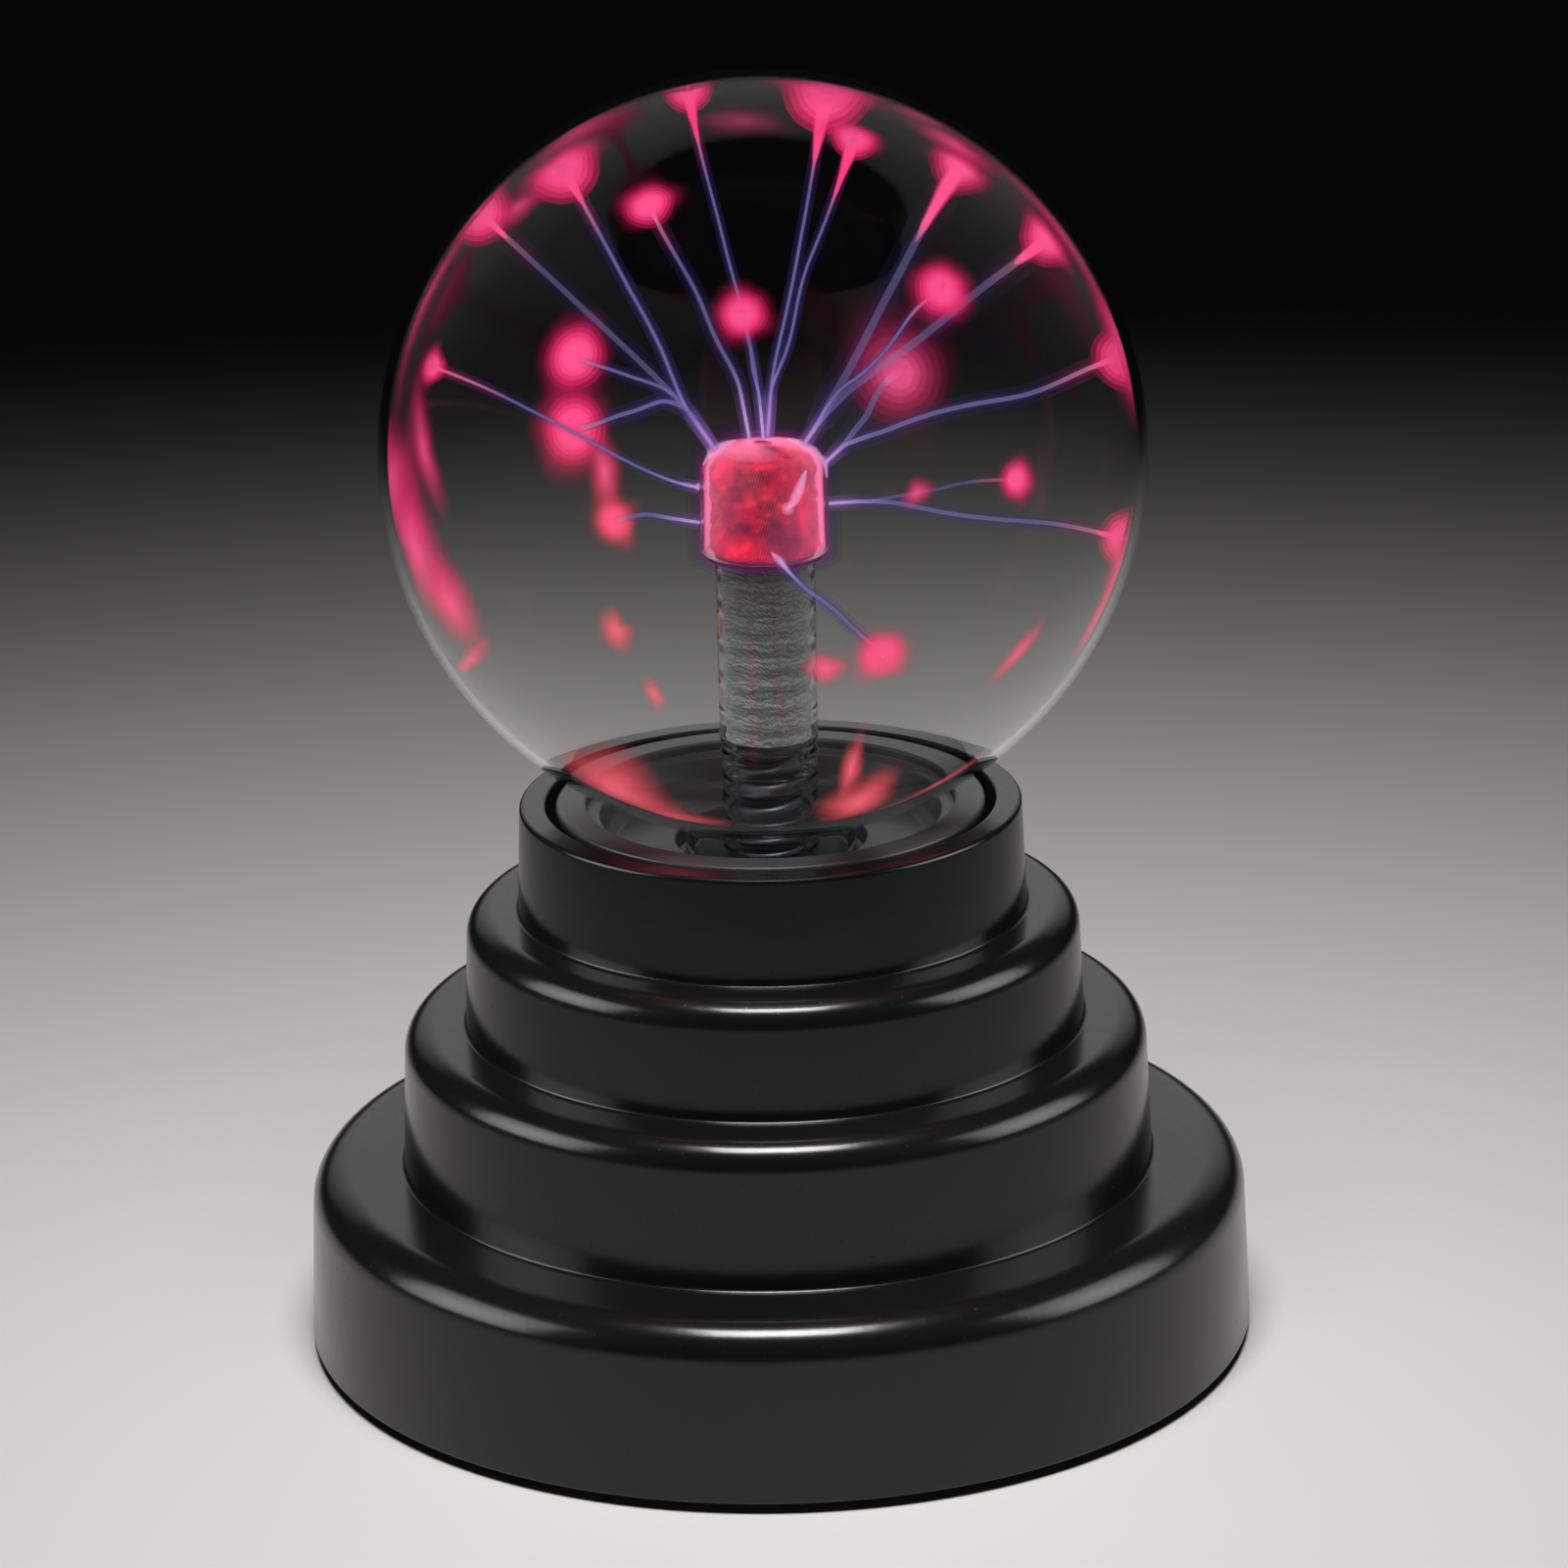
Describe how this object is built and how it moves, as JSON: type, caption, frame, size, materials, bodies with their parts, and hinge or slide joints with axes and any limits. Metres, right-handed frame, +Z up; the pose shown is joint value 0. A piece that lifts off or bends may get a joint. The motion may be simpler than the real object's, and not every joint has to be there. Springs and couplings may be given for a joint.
{
  "type": "plasma ball",
  "caption": "Clear glass globe with a central electrode on a round black stepped base that holds the drive board and a battery bay.",
  "frame": {"origin": "on the table, under the middle of the base", "axes": "+Z up along the axis of the globe; -Y is the front, +Y the rear with the switch and inlet"},
  "size_m": [0.0966, 0.0966, 0.1302],
  "materials": {
    "housing_plastic": "polished black moulding",
    "cup_plastic": "satin black moulding",
    "clear_glass": "clear blown glass",
    "electrode_glass": "glass tinted red by the glowing gas",
    "steel_wool": "crumpled fine wire",
    "spring_steel": "bright wire",
    "woven_sleeve": "grey woven glass sleeve",
    "rubber": "matte",
    "cover_plastic": "fine-grained black moulding",
    "cell_jacket": "plain printed sleeve with no text, bare steel ends",
    "contact_steel": "nickel-plated strip",
    "circuit_board": "green solder mask",
    "ferrite": "dull grey-black ferrite",
    "winding": "lacquered copper wire under tape",
    "component_black": "moulded epoxy",
    "heat_sink": "plain pressed sheet",
    "can_sleeve": "shrink sleeve",
    "film_coating": "dipped resin",
    "insulation_red": "red insulation",
    "insulation_black": "black insulation",
    "insulation_white": "white silicone insulation"
  },
  "bodies": {
    "base": {"housing_shell": "housing_plastic", "globe_cup": "cup_plastic", "neck_grommet": "rubber", "globe_envelope": "clear_glass", "glass_stem": "clear_glass", "electrode_bulb": "electrode_glass", "electrode_wool": "steel_wool", "feed_spring": "spring_steel", "core_sleeve": "woven_sleeve", "stem_boot": "rubber", "high_voltage_lead": "insulation_white", "bottom_cover": "cover_plastic", "foot_1": "rubber", "foot_2": "rubber", "foot_3": "rubber", "foot_4": "rubber", "battery_1": "cell_jacket", "battery_2": "cell_jacket", "battery_3": "cell_jacket", "battery_4": "cell_jacket", "contact_plus": "contact_steel", "contact_minus": "contact_steel", "contact_bridge_rear": "contact_steel", "contact_bridge_front_left": "contact_steel", "contact_bridge_front_right": "contact_steel", "power_switch_body": "component_black", "power_inlet": "component_black", "circuit_board": "circuit_board", "transformer_core": "ferrite", "transformer_winding": "winding", "heat_sink": "heat_sink", "drive_transistor": "component_black", "capacitor_can": "can_sleeve", "capacitor_film": "film_coating", "lead_battery_plus": "insulation_red", "lead_battery_minus": "insulation_black", "lead_switch": "insulation_red", "lead_inlet": "insulation_black", "cover_screw_1": "spring_steel", "cover_screw_2": "spring_steel", "cover_screw_3": "spring_steel", "cover_screw_4": "spring_steel", "cup_screw_1": "spring_steel", "cup_screw_2": "spring_steel", "cup_screw_3": "spring_steel", "board_screw_1": "spring_steel", "board_screw_2": "spring_steel", "board_screw_3": "spring_steel", "board_screw_4": "spring_steel"},
    "door": {"battery_door": "cover_plastic"},
    "knob": {"power_switch_knob": "component_black"}
  },
  "joints": [
    {"name": "battery_door_hinge", "type": "hinge", "parent": "base", "child": "door", "pos_m": [0, -0.0266, 0.001], "axis": [-1, 0, 0], "range_deg": [0, 80]},
    {"name": "power_switch_slide", "type": "slide", "parent": "base", "child": "knob", "axis": [-1, 0, 0], "range_m": [0, 0.003]}
  ]
}
